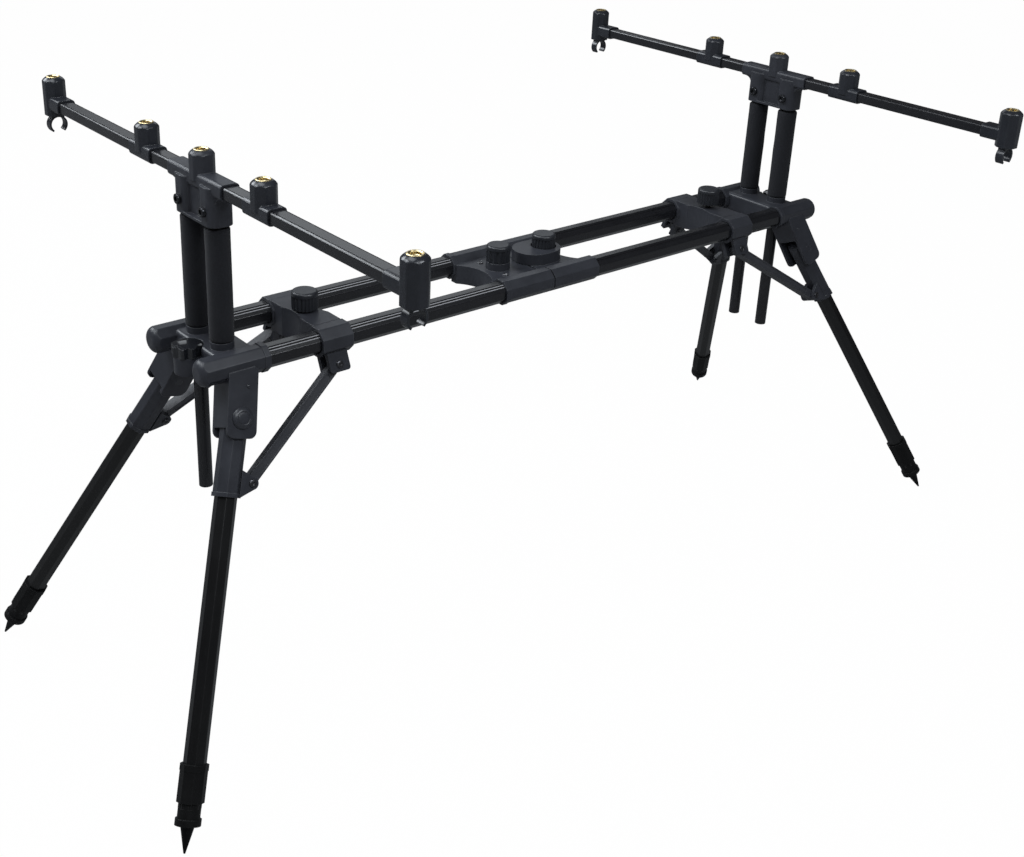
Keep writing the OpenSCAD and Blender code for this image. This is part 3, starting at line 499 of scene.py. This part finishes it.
def turnedBrass(name, look):
    made, shader, start, place = newFinish(name)
    rings = start.maths("SINE", insertRadius(place) * look["rings"]) * 0.5 + 0.5
    cloud = place.noise(*look["cloud"])
    tarnish = place.noise(*look["tarnish"]).between(*look["tarnished"])
    tone = (cloud * look["cloudTone"] + tarnish * look["tarnishTone"]).between(*look["tone"])
    start.fill(shader, {
        "Base Color": tone.blend(look["pale"], look["deep"]),
        "Roughness": look["rough"] + (rings - 0.5) * look["ringRough"] + tarnish * look["tarnishRough"],
        "Normal": (rings + cloud * look["cloudBump"]).bump(look["bump"], look["bumpDeep"]),
        "Metallic": 1.0,
    })
    return made


steels = {
    "bolt": {"pale": (0.20, 0.20, 0.21), "deep": (0.06, 0.06, 0.065), "rough": 0.32},
    "cross_bolt": {"pale": (0.13, 0.13, 0.14), "deep": (0.035, 0.036, 0.04), "rough": 0.22},
    "spike": {"pale": (0.05, 0.05, 0.052), "deep": (0.010, 0.010, 0.011), "rough": 0.36},
    "screw": {"pale": (0.42, 0.42, 0.43), "deep": (0.16, 0.16, 0.17), "rough": 0.26},
}
steelSkin = {
    "cloud": (420.0, 5.0, 0.65),
    "fine": (3200.0, 2.0),
    "edge": 0.4,
    "edgeWear": 0.8,
    "patches": (0.55, 0.8),
    "patchWear": 0.4,
    "cloudRough": 0.2,
    "fineRough": 0.08,
    "bump": 0.2,
    "deep": 0.03,
    "metallic": 0.85,
}


def darkSteel(name, look, skin):
    made, shader, start, place = newFinish(name)
    cloud = place.noise(*skin["cloud"])
    fine = place.noise(*skin["fine"])
    soft, edge = softEdges(start, skin["edge"])
    patches = cloud.between(*skin["patches"]) * skin["patchWear"]
    worn = (edge * skin["edgeWear"] + patches).between(0.0, 1.0)
    start.fill(shader, {
        "Base Color": worn.blend(look["deep"], look["pale"]),
        "Roughness": look["rough"] + (cloud - 0.5) * skin["cloudRough"] + (fine - 0.5) * skin["fineRough"],
        "Normal": (fine + cloud).bump(skin["bump"], skin["deep"], soft),
        "Metallic": skin["metallic"],
    })
    return made


tubeWays = {"rail": (1, 0, 0), "inner_rail": (1, 0, 0), "bar": (0, 1, 0), "pole": (0, 0, 1)}
finishes = {name: mouldedPlastic(name, look, plasticSkin) for name, look in mouldings.items()}
finishes.update({name: darkSteel(name, look, steelSkin) for name, look in steels.items()})
finishes.update({name: anodisedTube(name, metals[name], way, tubeSkin) for name, way in tubeWays.items()})
finishes["nearRail"] = anodisedTube("nearRail", metals["rail"], tubeWays["rail"], tubeSkin, grooveLook)
finishes["brass"] = turnedBrass("brass", brassLook)
finishes["foam"] = cellFoam("foam", foamLook)

slotOf = {part["node"]: part["material_slot"] for part in record["subparts"]}
for name, piece in nodes.items():
    finish = finishes.get(slotOf[name])
    if slotOf[name] == "leg":       # each leg leans its own way
        whose = name.replace("_tube", "")
        low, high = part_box(whose.replace("_leg", "_spike"))
        along = Vector(joints[whose + "_swing"]["pos_m"]) - (low + high) / 2
        finish = anodisedTube(name + "_finish", metals["leg"], along, tubeSkin)
    if name == "near_rails":
        finish = finishes["nearRail"]
    piece.data.materials.clear()
    piece.data.materials.append(finish)
print("finishes on", len(nodes), "nodes")


# modelling helpers, with sizes in mm
def take(*pieces):
    bpy.ops.object.select_all(action="DESELECT")
    for piece in pieces:
        piece.select_set(True)
    bpy.context.view_layer.objects.active = pieces[0]


def pick(piece, kind, test):
    # selects faces or edges in edit mode by a test on their middle
    bpy.ops.mesh.select_mode(type=kind)
    bpy.ops.mesh.select_all(action="DESELECT")
    shape = bmesh.from_edit_mesh(piece.data)
    for item in {"EDGE": shape.edges, "FACE": shape.faces}[kind]:
        spots = [corner.co for corner in item.verts]
        item.select_set(bool(test(sum(spots, Vector()) / len(spots), item)))
    shape.select_flush_mode()
    bmesh.update_edit_mesh(piece.data)


def isCap(spot, face):
    # the round end of a turned piece has many corners
    return len(face.verts) > 8


def boreThrough(piece):
    # the selected ends go, and a wall joins their rims
    bpy.ops.mesh.delete(type="FACE")
    pick(piece, "EDGE", lambda spot, edge: edge.is_boundary)
    bpy.ops.mesh.bridge_edge_loops()


def stepFace(steps, up):
    # the selected end goes inwards and along by (inset, rise); inset 0 draws straight
    for inward, rise in steps:
        if inward:
            bpy.ops.mesh.inset(thickness=inward * mm, depth=rise * mm)
        else:
            bpy.ops.mesh.extrude_region_move(TRANSFORM_OT_translate={"value": (0, 0, up * rise * mm)})


def addCylinder(corners, radius, low, high):
    bpy.ops.object.select_all(action="DESELECT")
    middle = (0, 0, (low + high) / 2 * mm)
    bpy.ops.mesh.primitive_cylinder_add(
        vertices=corners, radius=radius * mm, depth=(high - low) * mm, location=middle)
    return bpy.context.object


def turnedPiece(name, radius, low, high, upper=(), lower=(), corners=48):
    piece = addCylinder(corners, radius, low, high)
    piece.name = piece.data.name = name
    bpy.ops.object.transform_apply(location=True, rotation=True, scale=True)
    bpy.ops.object.mode_set(mode="EDIT")
    for level, steps, up in ((high, upper, 1), (low, lower, -1)):
        pick(piece, "FACE", lambda spot, face: abs(spot.z - level * mm) < hair and abs(face.normal.z) > 0.9)
        stepFace(steps, up)
    bpy.ops.object.mode_set(mode="OBJECT")
    return piece


def shankSteps(look, long):
    return [(look["head"] - look["shank"], 0), (0, long)]


def applied(piece, kind, settings):
    take(piece)
    change = piece.modifiers.new(kind.lower(), kind)
    for key, value in settings.items():
        setattr(change, key, value)
    bpy.ops.object.modifier_apply(modifier=change.name)


def finished(piece, angle=30):
    take(piece)
    bpy.ops.object.mode_set(mode="EDIT")
    bpy.ops.mesh.select_all(action="SELECT")
    bpy.ops.mesh.remove_doubles(threshold=hair)
    bpy.ops.mesh.normals_make_consistent(inside=False)
    bpy.ops.object.mode_set(mode="OBJECT")
    bpy.ops.object.shade_smooth_by_angle(angle=math.radians(angle))
    return piece


def joined(*pieces):
    take(*pieces)
    bpy.ops.object.join()
    return pieces[0]


def placeSet(model, name, body, slot, places, finish=None):
    # copies of a modelled piece, each with its own mesh, joined where they stand
    copies = []
    for place in places:
        copy = model.copy()
        copy.data = model.data.copy()
        bpy.context.collection.objects.link(copy)
        copy.matrix_world = place
        copies.append(copy)
    take(*copies)
    bpy.ops.object.transform_apply(location=True, rotation=True, scale=True)
    piece = joined(*copies)
    piece.name = piece.data.name = name
    piece.data.materials.clear()
    piece.data.materials.append(finishes[finish or slot])
    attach(piece, body)
    return piece


def standing(place, out=(0, 0, 1), turn=0):
    # the piece's Z goes along out
    along = Vector(out).to_track_quat("Z", "Y").to_matrix().to_4x4()
    return Matrix.Translation(Vector(place) * mm) @ along @ Matrix.Rotation(math.radians(turn), 4, "Z")


def onLegPlane(x, out, drop, end, side):
    # out is towards the outside of the pod, drop is down the leaning plane
    tilt = legPlane["tilt"]
    y = legPlane["across"] + out * math.cos(tilt) + drop * math.sin(tilt)
    z = legPlane["height"] + out * math.sin(tilt) - drop * math.cos(tilt)
    return Vector((end * x, side * y, z))


def planeOut(side):
    return Vector((0, side * math.cos(legPlane["tilt"]), math.sin(legPlane["tilt"])))


threadShape = {"flank": 0.42, "steps": 28, "merge": 1e-7}   # flank is half a ridge's foot, in pitches


def threadRidge(name, root, look, low, high):
    # one helical ridge between two heights, drawn from a three-sided profile
    bpy.ops.object.select_all(action="DESELECT")
    bpy.ops.mesh.primitive_circle_add(vertices=3, radius=1 * mm, fill_type="NOTHING")
    ridge = bpy.context.object
    ridge.name = ridge.data.name = name
    pitch = look["pitch"]
    foot = threadShape["flank"] * pitch
    corners = ((root, -foot), (look["crest"], 0.0), (root, foot))
    for point, (out, up) in zip(ridge.data.vertices, corners):
        point.co = (out * mm, 0, (low + up) * mm)
    applied(ridge, "SCREW", {
        "axis": "Z",
        "angle": math.tau,
        "screw_offset": pitch * mm,
        "iterations": int((high - low) / pitch),
        "steps": threadShape["steps"],
        "render_steps": threadShape["steps"],
        "use_merge_vertices": True,
        "merge_threshold": threadShape["merge"],
    })
    return ridge


# foam sleeves
sleeve = {
    "outer": 12.0, "bore": 7.1, "low": 398.192, "high": 510.192, "corners": 64,
    "round": 2.4, "roundSteps": 5,
    "cuts": 30, "dent": 0.5, "dentSize": 0.021, "dentLevel": 0.75,      # dentSize in metres
    "turns": (20, 205), "smooth": 60, "fill": 0.95,
}


def foamSleeve(look):
    piece = turnedPiece("foamModel", look["outer"], look["low"], look["high"], corners=look["corners"])
    levels = (look["low"] * mm, look["high"] * mm)
    rim = look["outer"] - look["bore"] - look["round"]
    bpy.ops.object.mode_set(mode="EDIT")
    pick(piece, "EDGE", lambda spot, edge: min(abs(spot.z - level) for level in levels) < hair)
    bpy.ops.mesh.bevel(offset=look["round"] * mm, segments=look["roundSteps"], affect="EDGES")
    pick(piece, "FACE", isCap)
    bpy.ops.mesh.inset(thickness=rim * mm)
    boreThrough(piece)
    tall = (look["high"] - look["low"]) * mm / 2
    pick(piece, "EDGE", lambda spot, edge: edge.calc_length() > tall)
    bpy.ops.mesh.subdivide(number_cuts=look["cuts"])
    bpy.ops.object.mode_set(mode="OBJECT")
    dents = bpy.data.textures.new("foamDents", "CLOUDS")
    dents.noise_scale = look["dentSize"]
    applied(piece, "DISPLACE", {
        "texture": dents,
        "strength": look["dent"] * mm,
        "mid_level": look["dentLevel"],
    })
    return finished(piece, look["smooth"])


model = foamSleeve(sleeve)
for end, sign in ends.items():
    spots = []
    for way, turn in zip(sides.values(), sleeve["turns"]):
        spots.append(standing((sign * layout["upright"], way * layout["poleSide"], 0), turn=turn))
    piece = placeSet(model, end + "_foam_tubes", end + "_upright", "foam", spots)
    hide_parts(end + "_foam_sleeves")
bpy.data.objects.remove(model)
print("foam sleeves made")

# brass inserts with a countersunk rim and a thread
insert = {
    "outer": 6.75, "flange": 7.2, "flangeDeep": 1.1, "long": 14.0,
    "edge": 0.35, "flat": 1.0, "sink": 0.9,
    "root": 4.80, "crest": 4.17, "pitch": 1.27,
    "boreIn": 0.02, "rootIn": 0.05,             # bore inside the thread's root, ridge sunk in the wall
    "threadLow": 1.0, "threadTop": 0.9,         # plain ends of the bore
    "turn": 40,                                 # from one insert to the next
}


def brassInsert(look):
    mouth = look["flange"] - look["edge"] - look["flat"] - look["sink"]
    upper = [
        (look["edge"], look["edge"]),
        (look["flat"], 0),
        (look["sink"], -look["sink"]),
        (mouth - look["root"] + look["boreIn"], 0),
        (0, look["sink"] - look["long"]),
    ]
    lower = [(look["flange"] - look["outer"], 0), (0, look["long"] - look["flangeDeep"])]
    piece = turnedPiece("insertModel", look["flange"], -look["flangeDeep"], -look["edge"], upper, lower)
    bpy.ops.object.mode_set(mode="EDIT")
    pick(piece, "FACE", isCap)
    boreThrough(piece)
    bpy.ops.object.mode_set(mode="OBJECT")
    low, high = look["threadLow"] - look["long"], -look["sink"] - look["threadTop"]
    ridge = threadRidge("insertThread", look["root"] + look["rootIn"], look, low, high)
    return joined(finished(piece), finished(ridge))


model = brassInsert(insert)
for end, sign in ends.items():
    spots = []
    for number, y in enumerate(layout["stations"]):
        place = (sign * layout["upright"], y, layout["insertTop"])
        spots.append(standing(place, turn=number * insert["turn"]))
    piece = placeSet(model, end + "_threaded_inserts", end + "_upright", "brass", spots)
    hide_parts(end + "_brass_inserts")
bpy.data.objects.remove(model)
print("brass inserts made")

# cross bolts of the bar brackets, cap heads with a hexagon recess
crossBolt = {
    "head": 5.0, "high": 3.5, "edge": 0.6, "shank": 3.0, "long": 26.0, "key": 2.9, "keyDeep": 2.0,
    "turns": (8, 41),
}
# what all heads with a recess share; the rim's steps are shares of its edge
socketShape = {"corners": 40, "keyCorners": 6, "rim": [(0.4, 0.7), (0.6, 0.3)]}


def socketHead(name, look, long):
    edge, high = look["edge"], look["high"]
    rim = [(edge * inward, edge * rise) for inward, rise in socketShape["rim"]]
    shank = shankSteps(look, long)
    piece = turnedPiece(name, look["head"], 0, high - edge, rim, shank, socketShape["corners"])
    keyLow, keyHigh = high - look["keyDeep"], high + look["keyDeep"]
    recess = addCylinder(socketShape["keyCorners"], look["key"], keyLow, keyHigh)
    applied(piece, "BOOLEAN", {"operation": "DIFFERENCE", "solver": "EXACT", "object": recess})
    bpy.data.objects.remove(recess)
    return finished(piece)


model = socketHead("crossBoltModel", crossBolt, crossBolt["long"])
for end, sign in ends.items():
    face = sign * layout["upright"] - layout["crossFace"]
    spots = []
    for way, turn in zip(sides.values(), crossBolt["turns"]):
        spots.append(standing((face, way * layout["poleSide"], layout["crossHeight"]), (-1, 0, 0), turn))
    piece = placeSet(model, end + "_bracket_bolts", end + "_upright", "cross_bolt", spots)
    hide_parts(end + "_cross_bolts")
bpy.data.objects.remove(model)
print("cross bolts made")

# strut bolts and pins, low heads with a hexagon recess
strutBolt = {
    "head": 3.8, "high": 1.3, "edge": 0.45, "shank": 2.5, "key": 1.7, "keyDeep": 0.8,
    "turn": 25, "pinTurn": 50,
}
model = socketHead("strutBoltModel", strutBolt, layout["tabThick"])
for end, sign in ends.items():
    spots = []
    for side in sides.values():
        for way in (-1, 1):
            place = onLegPlane(layout["slider"], way * layout["tabOuter"], layout["boltDrop"], sign, side)
            spots.append(standing(place, way * planeOut(side), way * strutBolt["turn"]))
    piece = placeSet(model, end + "_tab_bolts", end + "_slider", "bolt", spots)
    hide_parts(end + "_slider_bolts")
bpy.data.objects.remove(model)
model = socketHead("strutPinModel", strutBolt, layout["tabOuter"])
for end in ends:
    for side, way in sides.items():
        whose = end + "_" + side
        pin = Vector(joints[whose + "_strut_swing"]["pos_m"]) / mm
        spots = []
        for face in (-1, 1):
            out = face * planeOut(way)
            spots.append(standing(pin + layout["tabOuter"] * out, out, face * strutBolt["pinTurn"]))
        piece = placeSet(model, whose + "_lug_pin", whose + "_leg", "bolt", spots)
        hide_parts(whose + "_strut_pin")
bpy.data.objects.remove(model)
print("strut bolts and pins made")

# leg pivots: a shallow dome with a sunk ring, on a bolt
pivotCap = {
    "head": 10.25, "skirt": 1.0, "shank": 4.0, "long": 31.4, "corners": 64, "smooth": 24,
    "dome": [
        (0.25, 0.35), (0.9, 0.75), (1.2, 0.62), (1.3, 0.45), (0.35, -0.45),
        (0.5, 0), (0.35, 0.45), (1.1, 0.18), (1.3, 0.10),
    ],
}


def domedHead(name, look):
    shank = shankSteps(look, look["long"])
    piece = turnedPiece(name, look["head"], 0, look["skirt"], look["dome"], shank, look["corners"])
    return finished(piece, look["smooth"])


model = domedHead("pivotModel", pivotCap)
for end, sign in ends.items():
    spots = []
    for side, way in sides.items():
        pivot = Vector(joints[end + "_" + side + "_leg_swing"]["pos_m"]) / mm
        out = -sign * planeOut(way)     # heads outside at the near end, inside at the far one
        spots.append(standing(pivot + layout["cheekOuter"] * out, out))
    piece = placeSet(model, end + "_leg_pivots", end + "_frame", "pivot_cap", spots)
    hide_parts(end + "_pivot_bolts")
bpy.data.objects.remove(model)
print("leg pivots made")

# threaded studs that show under the sliders' knobs
stud = {
    "root": 4.03, "crest": 4.5, "pitch": 1.25, "corners": 40,
    "near": 1.5, "far": 5.0,                    # what shows of each
    "inKnob": 0.3, "clear": 0.15,               # core into the knob, and off the slider
    "rootIn": 0.1, "ridgeClear": 0.4, "ridgeTop": 0.2,
}
for end, sign in ends.items():
    low = layout["sliderTop"]
    high = low + stud[end] + stud["inKnob"]
    ridgeLow, ridgeHigh = low + stud["ridgeClear"], high - stud["ridgeTop"]
    ridge = threadRidge("studModel", stud["root"] - stud["rootIn"], stud, ridgeLow, ridgeHigh)
    core = turnedPiece("studCore", stud["root"], low + stud["clear"], high, corners=stud["corners"])
    model = joined(finished(ridge), finished(core))
    spots = [standing((sign * layout["slider"], 0, 0))]
    placeSet(model, end + "_knob_stud", end + "_slider_knob", "bolt", spots, "screw")
    bpy.data.objects.remove(model)
print("studs made")

# screws in the near centre deck
deckScrew = {
    "head": 3.1, "high": 1.2, "edge": 0.5, "shank": 1.6, "long": 8.0, "key": 1.3, "keyDeep": 0.7,
    "x": -52.5, "y": 22.0, "turns": (-25, 55),
}
model = socketHead("deckScrewModel", deckScrew, deckScrew["long"])
spots = []
for way, turn in zip(sides.values(), deckScrew["turns"]):
    spots.append(standing((deckScrew["x"], way * deckScrew["y"], layout["deckTop"]), turn=turn))
placeSet(model, "near_deck_screws", "near_frame", "bolt", spots, "screw")
bpy.data.objects.remove(model)

# rivets in the clevises' outer cheeks
rivet = {
    "head": 1.8, "skirt": 0.25, "shank": 1.1, "long": 2.5, "corners": 32, "smooth": 30,
    "dome": [(0.3, 0.35), (0.5, 0.25), (0.5, 0.1)],
    "x": 401.0, "drop": 13.0,
}
model = domedHead("rivetModel", rivet)
for end, sign in ends.items():
    spots = []
    for way in sides.values():
        place = onLegPlane(rivet["x"], layout["cheekOuter"], rivet["drop"], sign, way)
        spots.append(standing(place, planeOut(way)))
    placeSet(model, end + "_clevis_rivets", end + "_frame", "pivot_cap", spots)
bpy.data.objects.remove(model)
print("screws and rivets made")
